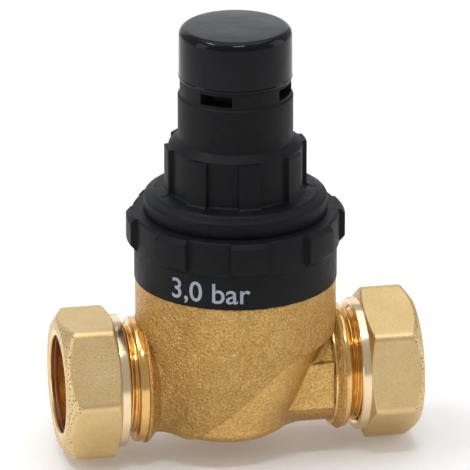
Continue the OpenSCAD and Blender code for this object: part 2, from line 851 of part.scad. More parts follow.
module olive(side) {
    land = 0.35;
    color("goldenrod") placed() difference() {
        turned_end(side, [
            [0, olive_start],
            [tube_bore_r + land, olive_start],
            [tube_bore_r + olive_stand, olive_start + olive_len * 0.38],
            [tube_bore_r + olive_stand, olive_start + olive_len * 0.62],
            [tube_bore_r + land, olive_start + olive_len],
            [0, olive_start + olive_len]
        ]);
        translate([side * half_len, 0, 0]) rotate([0, 90, 0])
            cylinder(r = tube_bore_r, h = 2 * half_len, center = true);
    }
}

module inlet_nut() nut(-1, inlet_nut_turn);
module inlet_olive() olive(-1);
module outlet_nut() nut(1, outlet_nut_turn);
module outlet_olive() olive(1);

valve_body();
cartridge_carrier();
spring_housing();
screw_bush();
protective_cap();
adjusting_screw();
upper_spring_plate();
main_spring();
lower_spring_plate();
stem_nut();
diaphragm();
slip_ring();
diaphragm_washer();
valve_stem();
disc_holder();
seat_washer();
seat_ring();
cartridge_cage();
cage_o_ring();
balance_o_ring();
strainer_mesh();
inlet_nut();
inlet_olive();
outlet_nut();
outlet_olive();
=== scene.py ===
import json
import math

import bmesh
import bpy
import numpy as np
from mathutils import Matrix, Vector


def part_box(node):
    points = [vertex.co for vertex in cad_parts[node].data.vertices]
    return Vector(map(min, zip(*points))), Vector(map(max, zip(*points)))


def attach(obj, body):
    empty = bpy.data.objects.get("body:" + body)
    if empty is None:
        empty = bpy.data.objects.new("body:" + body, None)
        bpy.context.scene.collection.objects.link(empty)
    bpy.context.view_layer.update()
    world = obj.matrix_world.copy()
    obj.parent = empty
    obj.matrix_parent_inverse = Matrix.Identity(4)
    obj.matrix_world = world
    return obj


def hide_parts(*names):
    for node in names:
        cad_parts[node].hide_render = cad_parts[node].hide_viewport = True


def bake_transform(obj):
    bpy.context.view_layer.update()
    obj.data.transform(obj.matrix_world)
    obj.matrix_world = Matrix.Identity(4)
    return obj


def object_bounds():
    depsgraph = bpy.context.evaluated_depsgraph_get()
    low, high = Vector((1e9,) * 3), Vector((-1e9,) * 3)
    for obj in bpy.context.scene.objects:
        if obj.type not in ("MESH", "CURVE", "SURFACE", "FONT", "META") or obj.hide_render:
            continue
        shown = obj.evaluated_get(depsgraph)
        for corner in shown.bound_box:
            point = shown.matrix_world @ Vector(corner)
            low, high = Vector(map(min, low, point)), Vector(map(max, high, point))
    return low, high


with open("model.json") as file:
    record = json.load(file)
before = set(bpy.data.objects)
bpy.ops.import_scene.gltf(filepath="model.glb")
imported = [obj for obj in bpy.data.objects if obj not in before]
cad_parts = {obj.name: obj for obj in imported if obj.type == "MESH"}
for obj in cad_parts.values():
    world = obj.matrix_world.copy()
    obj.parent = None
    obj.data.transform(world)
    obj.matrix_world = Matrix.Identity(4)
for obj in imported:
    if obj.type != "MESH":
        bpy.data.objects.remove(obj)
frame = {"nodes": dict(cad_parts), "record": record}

cad_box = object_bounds()

MM = 0.001
BODY = "valve"


# Sizes in millimetres, read from the frame. x is counted from the bonnet's axis.
def node_box(node):
    lo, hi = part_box(node)
    return np.array(lo) / MM, np.array(hi) / MM


cap_lo, cap_hi = node_box("protective_cap")
AXIS_X = (cap_lo[0] + cap_hi[0]) / 2
nut_lo, nut_hi = node_box("outlet_nut")
HALF_LEN = nut_hi[0] - AXIS_X
NUT_INNER = nut_lo[0] - AXIS_X
NUT_FLAT_R = 15.45
body_lo, body_hi = node_box("valve_body")
CUP_R = body_hi[1]
CUP_TOP = body_hi[2]
BELLY_BOTTOM = body_lo[2]
BODY_END = body_hi[0] - AXIS_X
carrier_lo, carrier_hi = node_box("cartridge_carrier")
RING_TOP = carrier_hi[2]
housing_lo, housing_hi = node_box("spring_housing")
BARREL_TOP = cap_lo[2]
CAP_TOP = cap_hi[2]
TUBE_R = next(m for m in frame["record"]["mounts"] if m["name"] == "outlet_tube")["dims"]["r_mm"]
STOP_X = AXIS_X  # the frame's origin is where the inlet tube stops
FLOOR_Z = cad_box[0][2]


# ---------------------------------------------------------------- mesh tools

def finish_mesh(obj, sharp_deg=40):
    """Outward normals, smooth shading, and sharp edges where faces meet steeply."""
    bm = bmesh.new()
    bm.from_mesh(obj.data)
    bmesh.ops.remove_doubles(bm, verts=bm.verts, dist=0.002 * MM)
    bmesh.ops.dissolve_degenerate(bm, edges=bm.edges, dist=0.001 * MM)
    bmesh.ops.recalc_face_normals(bm, faces=bm.faces)
    limit = math.radians(sharp_deg)
    for e in bm.edges:
        e.smooth = len(e.link_faces) != 2 or e.calc_face_angle() < limit
    for f in bm.faces:
        f.smooth = True
    bm.to_mesh(obj.data)
    bm.free()
    return obj


def make_object(name, verts_mm, faces, material, sharp_deg=40):
    """A mesh from points in millimetres about the bonnet's axis, moved into the frame."""
    pts = (np.asarray(verts_mm, float) + [AXIS_X, 0, 0]) * MM
    mesh = bpy.data.meshes.new(name)
    mesh.from_pydata(pts.tolist(), [], faces)
    obj = bpy.data.objects.new(name, mesh)
    bpy.context.scene.collection.objects.link(obj)
    mesh.materials.append(material)
    return finish_mesh(obj, sharp_deg)


def paint(obj, name, values):
    """A number from 0 to 1 at each point, for the materials to read."""
    share = obj.data.attributes.new(name, "FLOAT", "POINT")
    share.data.foreach_set("value", np.asarray(values, np.float32))


def local_points(obj):
    """The mesh's points in millimetres about the bonnet's axis."""
    return np.array([v.co for v in obj.data.vertices]) / MM - [AXIS_X, 0, 0]


def rounded(corners, steps=4):
    """A profile whose corners (r, z, radius) become arcs; radius 0 keeps a corner. Closed."""
    out = []
    n = len(corners)
    for i, (r, z, rad) in enumerate(corners):
        p = np.array([r, z], float)
        if rad <= 0:
            out.append(p)
            continue
        a = np.array(corners[i - 1][:2], float) - p
        b = np.array(corners[(i + 1) % n][:2], float) - p
        la, lb = np.linalg.norm(a), np.linalg.norm(b)
        a, b = a / la, b / lb
        half = math.acos(np.clip(a @ b, -1, 1)) / 2
        if half > math.radians(89):
            out.append(p)
            continue
        t = min(rad / math.tan(half), 0.49 * la, 0.49 * lb)
        rad = t * math.tan(half)
        bis = (a + b) / np.linalg.norm(a + b)
        c = p + bis * rad / math.sin(half)
        u, v = p + a * t - c, p + b * t - c
        sweep = math.atan2(u[0] * v[1] - u[1] * v[0], u @ v)
        for k in range(steps + 1):
            g = sweep * k / steps
            out.append(c + [u[0] * math.cos(g) - u[1] * math.sin(g), u[0] * math.sin(g) + u[1] * math.cos(g)])
    return np.array(out)


def swept(name, rz, theta, material, axis="z", side=1, sharp_deg=40):
    """A closed ring mesh from rz[theta, point, (r, along)] about the bonnet's axis or the tube's."""
    t = theta[:, None]
    r, s = rz[..., 0], rz[..., 1]
    if axis == "z":
        pts = np.stack([r * np.cos(t), r * np.sin(t), s], -1)
    else:
        pts = np.stack([side * s, r * np.sin(t), r * np.cos(t)], -1)
    nt, ns = r.shape
    idx = np.arange(nt * ns).reshape(nt, ns)
    a, b = idx, np.roll(idx, -1, 0)
    c, d = np.roll(b, -1, 1), np.roll(a, -1, 1)
    faces = np.stack([a, b, c, d], -1).reshape(-1, 4).tolist()
    return make_object(name, pts.reshape(-1, 3), faces, material, sharp_deg)


def lathe(name, corners, material, axis="z", side=1, segments=128, steps=4):
    """A plain turned piece: a rounded closed profile revolved."""
    prof = rounded(corners, steps)
    theta = np.linspace(0, 2 * math.pi, segments, endpoint=False)
    rz = np.repeat(prof[None], segments, 0)
    return swept(name, rz, theta, material, axis, side)


def step_mask(x, edge, soft):
    """1 where |x| is below edge and 0 above it, with a smooth step of half-width soft between."""
    t = np.clip((edge + soft - np.abs(x)) / (2 * soft), 0, 1)
    return t * t * (3 - 2 * t)


def around(features, step_deg=3.0):
    """Angles dense at the sides of each row of features, and each row's share from 0 to 1.

    A feature row is (count, turn in degrees, width, radius, softness)."""
    theta = [np.radians(np.arange(0, 360, step_deg))]
    shares = []
    for count, turn, width, radius, soft in features:
        side, s = math.asin(width / 2 / radius), soft / radius
        edge = np.linspace(-s, s, 6)
        for k in range(count):
            mid = math.radians(turn + 360 / count * k)
            theta += [mid - side + edge, mid + side + edge]
    theta = np.unique(np.round(np.concatenate(theta) % (2 * math.pi), 5))
    gap = np.diff(np.append(theta, theta[0] + 2 * math.pi))
    theta = theta[gap > 0.002]
    for count, turn, width, radius, soft in features:
        pitch = 2 * math.pi / count
        near = (theta - math.radians(turn) + pitch / 2) % pitch - pitch / 2
        shares.append(step_mask(near, math.asin(width / 2 / radius), soft / radius))
    return theta, shares


# ------------------------------------------------------- distance-field tools

def poly_distance(r, z, poly):
    """Signed distance from points (r, z) to a closed polygon, negative inside."""
    best = np.full(r.shape, 1e9, r.dtype)
    inside = np.zeros(r.shape, bool)
    for (ax, az), (bx, bz) in zip(poly, np.roll(poly, -1, axis=0)):
        ex, ez = bx - ax, bz - az
        wx, wz = r - ax, z - az
        t = np.clip((wx * ex + wz * ez) / max(ex * ex + ez * ez, 1e-12), 0, 1)
        best = np.minimum(best, (wx - ex * t) ** 2 + (wz - ez * t) ** 2)
        if az != bz:
            crosses = (az > z) != (bz > z)
            inside ^= crosses & (r < ex * (z - az) / ez + ax)
    d = np.sqrt(best)
    return np.where(inside, -d, d)


def soft_min(a, b, k):
    """The smaller of two distances, blended over a width k where they are close."""
    h = np.clip(k - np.abs(a - b), 0, None) / k
    return np.minimum(a, b) - h * h * k / 4


def rounded_box(p, centre, half, rad):
    """Distance from points p to a box with rounded edges."""
    q = [np.abs(p[i] - centre[i]) - (half[i] - rad) for i in range(3)]
    outside = np.sqrt(sum(np.maximum(v, 0) ** 2 for v in q))
    return outside + np.minimum(np.maximum(np.maximum(q[0], q[1]), q[2]), 0) - rad


def surface_net(field, lo, hi, h):
    """Vertices and quads on the zero level of a distance field, drawn onto the surface."""
    axes = [np.arange(lo[i], hi[i] + h, h, dtype=np.float32) for i in range(3)]
    grid = np.meshgrid(*axes, indexing="ij")
    d = field(grid)
    n = np.array(d.shape) - 1
    corner = [d[i:i + n[0], j:j + n[1], k:k + n[2]] for i in (0, 1) for j in (0, 1) for k in (0, 1)]
    neg = sum((c < 0).astype(np.int8) for c in corner)
    cell = (neg > 0) & (neg < 8)
    index = np.full(cell.shape, -1, np.int64)
    where = np.argwhere(cell)
    index[cell] = np.arange(len(where))
    total = np.zeros((len(where), 3))
    count = np.zeros(len(where))
    offs = [(i, j, k) for i in (0, 1) for j in (0, 1) for k in (0, 1)]
    vals = [c[cell] for c in corner]
    for a in range(8):
        for b in range(a + 1, 8):
            if sum(abs(offs[a][m] - offs[b][m]) for m in range(3)) != 1:
                continue
            va, vb = vals[a], vals[b]
            hit = (va < 0) != (vb < 0)
            t = np.where(hit, va / np.where(va == vb, 1, va - vb), 0)
            p = np.array(offs[a]) + t[:, None] * (np.array(offs[b]) - np.array(offs[a]))
            total += p * hit[:, None]
            count += hit
    verts = np.array(lo) + (where + total / count[:, None]) * h
    faces = []
    for ax in range(3):
        u, v = (ax + 1) % 3, (ax + 2) % 3
        s0 = [slice(1, -1)] * 3
        s1 = [slice(1, -1)] * 3
        s0[ax] = slice(0, -1)
        s1[ax] = slice(1, None)
        a, b = d[tuple(s0)] < 0, d[tuple(s1)] < 0
        for flip in (False, True):
            at = np.argwhere(b & ~a if flip else a & ~b)
            at[:, u] += 1
            at[:, v] += 1
            ring = []
            for du, dv in ((-1, -1), (0, -1), (0, 0), (-1, 0)):
                q = at.copy()
                q[:, u] += du
                q[:, v] += dv
                ring.append(index[q[:, 0], q[:, 1], q[:, 2]])
            quad = np.stack(ring[::-1] if flip else ring, -1)
            faces.append(quad)
    verts = verts.astype(np.float64)
    e = 0.02
    for _ in range(3):
        p = [verts[:, i] for i in range(3)]
        g = np.stack([field([p[j] + e * (j == i) for j in range(3)])
                      - field([p[j] - e * (j == i) for j in range(3)]) for i in range(3)], -1)
        norm = np.linalg.norm(g, axis=1, keepdims=True)
        g = g / np.maximum(norm, 1e-9)
        move = np.clip(field(p), -0.5 * h, 0.5 * h)
        verts -= g * move[:, None] * 0.9
    return verts, np.vstack(faces)


# ------------------------------------------------------------------ materials

def shader(name, **values):
    """A material with a Principled shader, its constant sockets set, and coordinates in millimetres."""
    m = bpy.data.materials.new(name)
    m.use_nodes = True
    nt = m.node_tree
    bsdf = nt.nodes["Principled BSDF"]
    for k, v in values.items():
        bsdf.inputs[k.replace("_", " ")].default_value = v
    coord = nt.nodes.new("ShaderNodeTexCoord")
    scale = nt.nodes.new("ShaderNodeVectorMath")
    scale.operation = "SCALE"
    scale.inputs["Scale"].default_value = 1 / MM
    nt.links.new(coord.outputs["Object"], scale.inputs[0])
    return m, nt, bsdf, scale.outputs[0]


def noise(nt, coords, scale, detail=2.0, rough=0.5):
    n = nt.nodes.new("ShaderNodeTexNoise")
    n.inputs["Scale"].default_value = scale
    n.inputs["Detail"].default_value = detail
    n.inputs["Roughness"].default_value = rough
    nt.links.new(coords, n.inputs["Vector"])
    return n.outputs["Fac"]


def cells(nt, coords, scale):
    n = nt.nodes.new("ShaderNodeTexVoronoi")
    n.inputs["Scale"].default_value = scale
    nt.links.new(coords, n.inputs["Vector"])
    return n.outputs["Distance"]


def ramp(nt, fac, stops):
    n = nt.nodes.new("ShaderNodeValToRGB")
    cr = n.color_ramp
    while len(cr.elements) < len(stops):
        cr.elements.new(0.5)
    for el, (pos, col) in zip(cr.elements, stops):
        el.position = pos
        el.color = (*col, 1) if len(col) == 3 else col
    nt.links.new(fac, n.inputs["Fac"])
    return n.outputs["Color"]


def spread(nt, fac, lo, hi, from_lo=0.3, from_hi=0.7):
    n = nt.nodes.new("ShaderNodeMapRange")
    n.inputs["From Min"].default_value = from_lo
    n.inputs["From Max"].default_value = from_hi
    n.inputs["To Min"].default_value = lo
    n.inputs["To Max"].default_value = hi
    nt.links.new(fac, n.inputs["Value"])
    return n.outputs["Result"]


def math_node(nt, op, a, b):
    n = nt.nodes.new("ShaderNodeMath")
    n.operation = op
    for socket, v in zip(n.inputs, (a, b)):
        if isinstance(v, (int, float)):
            socket.default_value = v
        else:
            nt.links.new(v, socket)
    return n.outputs[0]


def mixed(nt, fac, a, b, blend="MIX"):
    n = nt.nodes.new("ShaderNodeMix")
    n.data_type = "RGBA"
    n.blend_type = blend
    for name, v in (("Factor_Float", fac), ("A_Color", a), ("B_Color", b)):
        socket = next(s for s in n.inputs if s.identifier == name)
        if isinstance(v, (int, float)):
            socket.default_value = v
        elif isinstance(v, tuple):
            socket.default_value = (*v, 1)
        else:
            nt.links.new(v, socket)
    return next(s for s in n.outputs if s.identifier == "Result_Color")


def bump(nt, height, distance_mm, strength=1.0, base=None):
    n = nt.nodes.new("ShaderNodeBump")
    n.inputs["Strength"].default_value = strength
    n.inputs["Distance"].default_value = distance_mm * MM
    nt.links.new(height, n.inputs["Height"])
    if base is not None:
        nt.links.new(base, n.inputs["Normal"])
    return n.outputs["Normal"]


def attribute(nt, name):
    n = nt.nodes.new("ShaderNodeAttribute")
    n.attribute_name = name
    return n.outputs["Fac"]


def cast_brass():
    """Shot-blasted casting: coarse grain above the step, finer below it; its sparkle is partly bump and
    partly painted glints, pale bright specks in the colour.
    """
    m, nt, bsdf, at = shader("cast_brass", Metallic=1.0)
    broad = noise(nt, at, 0.10, 3, 0.6)
    patch = noise(nt, at, 0.45, 2, 0.5)
    grain = noise(nt, at, 2.0, 3, 0.7)
    fine = noise(nt, at, 5.0, 2, 0.6)
    pits = cells(nt, at, 1.7)
    tone = ramp(nt, broad, [(0.3, (0.54, 0.325, 0.095)), (0.7, (0.65, 0.41, 0.14))])
    # Grain specks in the colour: the darker specks are the metal's own grain, and the pale specks above 1 are
    # painted glints.
    grain_and_glint_stops = [(0.3, (0.66, 0.58, 0.48)), (0.46, (0.94, 0.94, 0.93)), (0.66, (1.42, 1.45, 1.65))]
    speck = ramp(nt, grain, grain_and_glint_stops)
    nt.links.new(mixed(nt, 0.8, tone, speck, "MULTIPLY"), bsdf.inputs["Base Color"])
    nt.links.new(spread(nt, fine, 0.24, 0.44), bsdf.inputs["Roughness"])
    height = math_node(nt, "ADD", grain, math_node(nt, "MULTIPLY", pits, 0.6))
    amount = math_node(nt, "MULTIPLY", attribute(nt, "coarse"), spread(nt, patch, 0.55, 1.0))
    n1 = bump(nt, math_node(nt, "MULTIPLY", height, amount), 0.75, 1.0)
    nt.links.new(bump(nt, fine, 0.05, 0.9, n1), bsdf.inputs["Normal"])
    return m


def nut_brass():
    """Pale forged brass with a fine skin, and small dark pits where the flash was trimmed."""
    m, nt, bsdf, at = shader("nut_brass", Metallic=1.0)
    broad = noise(nt, at, 0.12, 3, 0.6)
    grain = noise(nt, at, 2.6, 3, 0.65)
    fine = noise(nt, at, 7.0, 2, 0.5)
    pits = cells(nt, at, 1.6)
    tone = ramp(nt, broad, [(0.3, (0.73, 0.525, 0.245)), (0.7, (0.80, 0.60, 0.305))])
    speck = ramp(nt, grain, [(0.3, (0.80, 0.76, 0.70)), (0.55, (1.0, 1.0, 1.0))])
    skin = mixed(nt, 0.7, tone, speck, "MULTIPLY")
    hole = math_node(nt, "MULTIPLY", spread(nt, pits, 1.0, 0.0, 0.16, 0.36), attribute(nt, "trim"))
    nt.links.new(mixed(nt, hole, skin, (0.16, 0.09, 0.035)), bsdf.inputs["Base Color"])
    nt.links.new(spread(nt, fine, 0.33, 0.48), bsdf.inputs["Roughness"])
    n1 = bump(nt, math_node(nt, "SUBTRACT", grain, math_node(nt, "MULTIPLY", hole, 1.5)), 0.10, 0.8)
    nt.links.new(bump(nt, fine, 0.025, 0.7, n1), bsdf.inputs["Normal"])
    return m


def turned_brass():
    """Bright turned brass with fine tool marks round the tube's axis, and painted shade in the nut's bore: a
    darker copper brown there.
    """
    m, nt, bsdf, at = shader("turned_brass", Metallic=1.0)
    stretch = nt.nodes.new("ShaderNodeVectorMath")
    stretch.operation = "MULTIPLY"
    stretch.inputs[1].default_value = (9.0, 0.35, 0.35)
    nt.links.new(at, stretch.inputs[0])
    lines = noise(nt, stretch.outputs[0], 1.0, 3, 0.6)
    broad = noise(nt, at, 0.35, 2, 0.5)
    tone = ramp(nt, broad, [(0.3, (0.74, 0.44, 0.14)), (0.7, (0.84, 0.56, 0.22))])
    pale = mixed(nt, attribute(nt, "pale"), tone, (0.88, 0.71, 0.45))
    # Painted shade: the bore inside the nut's mouth is coloured a darker copper brown, and is rougher.
    bore = attribute(nt, "bore")
    nt.links.new(mixed(nt, bore, pale, (0.40, 0.20, 0.11)), bsdf.inputs["Base Color"])
    rough = math_node(nt, "ADD", spread(nt, lines, 0.10, 0.24), math_node(nt, "MULTIPLY", bore, 0.2))
    nt.links.new(rough, bsdf.inputs["Roughness"])
    nt.links.new(bump(nt, lines, 0.008, 0.6), bsdf.inputs["Normal"])
    return m


def satin_plastic():
    """Glass-filled nylon: near black, faintly mottled, with a fine moulded texture."""
    m, nt, bsdf, at = shader("bonnet_plastic", Metallic=0.0, Specular_IOR_Level=0.13)
    mottle = noise(nt, at, 0.5, 4, 0.65)
    grain = noise(nt, at, 4.0, 2, 0.6)
    tone = ramp(nt, mottle, [(0.3, (0.0045, 0.0048, 0.0055)), (0.7, (0.0085, 0.0088, 0.0098))])
    nt.links.new(tone, bsdf.inputs["Base Color"])
    nt.links.new(spread(nt, mottle, 0.42, 0.56), bsdf.inputs["Roughness"])
    nt.links.new(bump(nt, grain, 0.03, 0.6), bsdf.inputs["Normal"])
    return m


def gloss_plastic():
    """The cap: glossy black with a slightly wavy surface."""
    m, nt, bsdf, at = shader("cap_plastic", Metallic=0.0, Specular_IOR_Level=0.17)
    wave = noise(nt, at, 0.16, 2, 0.4)
    fine = noise(nt, at, 4.0, 2, 0.5)
    tone = ramp(nt, wave, [(0.3, (0.0035, 0.0037, 0.0045)), (0.7, (0.0055, 0.0058, 0.007))])
    nt.links.new(tone, bsdf.inputs["Base Color"])
    nt.links.new(spread(nt, fine, 0.07, 0.13), bsdf.inputs["Roughness"])
    nt.links.new(bump(nt, wave, 0.25, 0.6), bsdf.inputs["Normal"])
    return m


def plain(name, dark, light, rough, metallic, grain_mm=1.5, depth=0.01):
    """A simple material for the inner pieces, with tone, roughness and bump from noise."""
    m, nt, bsdf, at = shader(name, Metallic=metallic)
    n = noise(nt, at, grain_mm, 3, 0.6)
    nt.links.new(ramp(nt, n, [(0.3, dark), (0.7, light)]), bsdf.inputs["Base Color"])
    nt.links.new(spread(nt, n, rough - 0.06, rough + 0.06), bsdf.inputs["Roughness"])
    nt.links.new(bump(nt, n, depth, 0.6), bsdf.inputs["Normal"])
    return m


MATERIALS = {
    "cast_brass": cast_brass(),
    "nut_brass": nut_brass(),
    "turned_brass": turned_brass(),
    "bonnet_plastic": satin_plastic(),
    "cap_plastic": gloss_plastic(),
    "white_plastic": plain("white_plastic", (0.74, 0.72, 0.66), (0.84, 0.82, 0.77), 0.45, 0.0),
    "label_ink": plain("label_ink", (0.30, 0.31, 0.38), (0.38, 0.39, 0.47), 0.5, 0.0, 2.0, 0.005),
    "seal_rubber": plain("seal_rubber", (0.02, 0.02, 0.022), (0.035, 0.035, 0.037), 0.7, 0.0, 3.0, 0.02),
    "steel": plain("steel", (0.50, 0.50, 0.49), (0.62, 0.62, 0.61), 0.3, 1.0, 1.2, 0.006),
    "spring_steel": plain("spring_steel", (0.28, 0.29, 0.31), (0.40, 0.41, 0.43), 0.35, 1.0, 1.0, 0.01),
}


# --------------------------------------------------------------- brass casting

THREAD_SHOWN = 2.3
SHOULDER_WIDTH = 1.3
COLLAR_WIDTH = 1.0
SHOULDER_END = NUT_INNER - THREAD_SHOWN
COLLAR_END = SHOULDER_END - SHOULDER_WIDTH
COLLAR_START = COLLAR_END - COLLAR_WIDTH
INLET_COLLAR_SHIFT = 0.8
NECK_R = 12.4
BELLY_R = 17.4
BELLY_LOW = -8.35
STRAIGHT_Z = 12.0
LEAN = 2.2
STEP_DEPTH, STEP_GAIN = 0.6, 0.8
NECK_FILLET = 1.5
PAD_CENTRE, PAD_HALF = 6.8, (5.3, NECK_R + 0.4, 5.5)
ROOM_FLOOR_Z = 1.0
PASSAGE_R = 8.5
WAY_R = 6.0


def belly_profile():
    """The outside of the cup and belly, as a closed profile from the bottom up to the rim."""
    bottom = [
        (BELLY_R * math.sin(a), BELLY_LOW + (BELLY_BOTTOM - BELLY_LOW) * math.cos(a))
        for a in np.linspace(0, math.pi / 2, 14)
    ]
    side = [(BELLY_R, BELLY_LOW), (CUP_R, STRAIGHT_Z), (CUP_R, CUP_TOP)]
    t = np.linspace(0, 1, 9)
    lower = [(BELLY_R + (CUP_R - BELLY_R) * (u * (1.35 - 0.35 * u)), BELLY_LOW + (STRAIGHT_Z - BELLY_LOW) * u)
             for u in t[1:-1]]
    return np.array(bottom + lower + side[1:] + [(0, CUP_TOP)])


BELLY = belly_profile()


def ledge_line(x):
    """Height of the slanting step on the cup's side, at distance x along the tube."""
    return soft_min(0.98 * x + 1.4, 0.12 * x + 8.6, 3.0)


def proud_share(x, z):
    """1 above the slanting step on the cup's side, 0 below it."""
    t = np.clip((z - ledge_line(x)) / 0.25 + 0.5, 0, 1)
    return t * t * (3 - 2 * t)


def casting_field(p):
    """Distance to the casting: cup, belly, neck and pads, less the rooms and water ways inside."""
    x, y, z = p
    r = np.sqrt(x * x + y * y)
    lean = LEAN * np.clip((STRAIGHT_Z - z) / (STRAIGHT_Z - BELLY_LOW), 0, 1)
    cup = poly_distance(np.hypot(x + lean, y), z, BELLY)
    side = np.clip((np.abs(y) - 4) / 4, 0, 1)
    step = STEP_DEPTH + STEP_GAIN * np.clip((x - 2) / 12, 0, 1)
    cup = cup + step * (1 - proud_share(x, z)) * side
    tube_r = np.sqrt(y * y + z * z)
    neck = np.maximum(tube_r - NECK_R, np.abs(x) - (COLLAR_START + 0.6))
    d = soft_min(cup, neck, NECK_FILLET)
    pad = rounded_box(p, (COLLAR_START - PAD_CENTRE, 0, 0), PAD_HALF, 0.3)
    d = soft_min(d, pad, 0.35)
    ways = [
        np.maximum(r - 20.0, 13.0 - z),
        np.maximum(r - 15.0, 5.5 - z),
        np.maximum(r - 10.0, ROOM_FLOOR_Z - z),
        np.maximum(r - 11.0, np.maximum(-12.0 - z, z - 2.0)),
        np.maximum(tube_r - PASSAGE_R, 13.1 - x),
        np.maximum(np.hypot(y, z - 4) - WAY_R, np.maximum(13.1 - x, x - 19.9)),
        np.maximum(tube_r - PASSAGE_R, x + 17.1),
        np.maximum(np.hypot(y, z + 3) - WAY_R, np.maximum(-19.1 - x, x + 4.1)),
    ]
    for w in ways:
        d = np.maximum(d, -w)
    return np.maximum(d, z - CUP_TOP + 0.02)


def build_casting():
    h = 0.36
    reach = COLLAR_START + 1.5
    verts, faces = surface_net(casting_field, (-reach, -CUP_R - 1, BELLY_BOTTOM - 1),
                               (reach, CUP_R + 1, CUP_TOP + 1), h)
    obj = make_object("body_casting", verts, faces.tolist(), MATERIALS["cast_brass"], 50)
    pts = local_points(obj)
    paint(obj, "coarse", 0.25 + 0.75 * proud_share(pts[:, 0], pts[:, 2]))
    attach(obj, BODY)
    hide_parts("valve_body")


THREAD_ROOT = 12.2
THREAD_R = 13.1
THREAD_PITCH = 1.814


def build_end(side, label):
    """Collar, turned shoulder, helical thread and tube socket of one end."""
    start = COLLAR_START - (INLET_COLLAR_SHIFT if side < 0 else 0)
    collar = lathe(label + "_collar", [
        (NECK_R - 1.5, start - 1.0, 0),
        (NECK_R - 0.2, start - 1.9, 0),
        (14.25, start + 0.05, 0.6),
        (14.75, start + 0.55, 0.35),
        (14.55, start + 1.02, 0.15),
        (NECK_R - 1.5, start + 1.02, 0),
    ], MATERIALS["cast_brass"], "x", side, 144)
    paint(collar, "coarse", np.full(len(collar.data.vertices), 0.6))
    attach(collar, BODY)
    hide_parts("valve_body")

    first = SHOULDER_END + 0.35
    last = BODY_END - 0.5
    xs = np.arange(first, last, THREAD_PITCH / 14)
    outer = [(13.4, start + 0.98), (14.2, start + 0.98), (14.3, start + 1.1), (14.3, SHOULDER_END - 0.15),
             (14.15, SHOULDER_END), (THREAD_ROOT + 0.1, SHOULDER_END), (THREAD_ROOT, SHOULDER_END + 0.1)]
    thread = [(THREAD_ROOT, x) for x in xs]
    inner = [(THREAD_ROOT, last), (THREAD_ROOT - 0.3, BODY_END - 0.02), (12.0, BODY_END - 0.02),
             (TUBE_R + 0.05, BODY_END - 1.15), (TUBE_R, BODY_END - 1.3), (TUBE_R, STOP_X + 0.02),
             (8.52, STOP_X + 0.02), (8.52, STOP_X - 1.2), (13.4, STOP_X - 1.2)]
    prof = np.array(outer + thread + inner)
    segments = 144
    theta = np.linspace(0, 2 * math.pi, segments, endpoint=False)
    rz = np.repeat(prof[None], segments, 0).copy()
    cols = slice(len(outer), len(outer) + len(thread))
    ridge = thread_wave(rz[:, cols, 1], theta, first, side)
    ease = np.clip((rz[:, cols, 1] - first) / 0.6, 0, 1) * np.clip((last - rz[:, cols, 1]) / 0.9, 0, 1)
    rz[:, cols, 0] += (THREAD_R - THREAD_ROOT - 0.02) * ridge * ease
    socket = swept(label + "_socket", rz, theta, MATERIALS["turned_brass"], "x", side, 55)
    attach(socket, BODY)
    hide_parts("valve_body")


# ---------------------------------------------------------------------- nuts

FACE_R = NUT_FLAT_R - 0.95
FACE_SLOPE = 1.35
SPIGOT_LEN = 2.0
EDGE_ROUNDING = 1.9


def rounded_hexagon(theta, flat_r, rad):
    """Radius of a hexagon with rounded edges at angles measured from a corner."""
    off = (theta % (math.pi / 3)) - math.pi / 6
    flat = flat_r / np.cos(off)
    cx = flat_r - rad
    cy = cx * math.tan(math.pi / 6)
    along = cx * np.cos(off) + cy * np.sin(np.abs(off))
    arc = along + np.sqrt(np.maximum(rad * rad - cx * cx - cy * cy + along * along, 0))
    return np.where(flat_r * np.abs(np.tan(off)) <= cy, flat, arc)


def thread_wave(x, theta, x0, side):
    """Height from 0 to 1 of a helical thread at distance x and angle theta."""
    phase = (x - x0) / THREAD_PITCH - side * theta[:, None] / (2 * math.pi)
    return np.clip((0.88 - np.abs((phase % 1.0) * 2 - 1)) / 0.7, 0, 1)


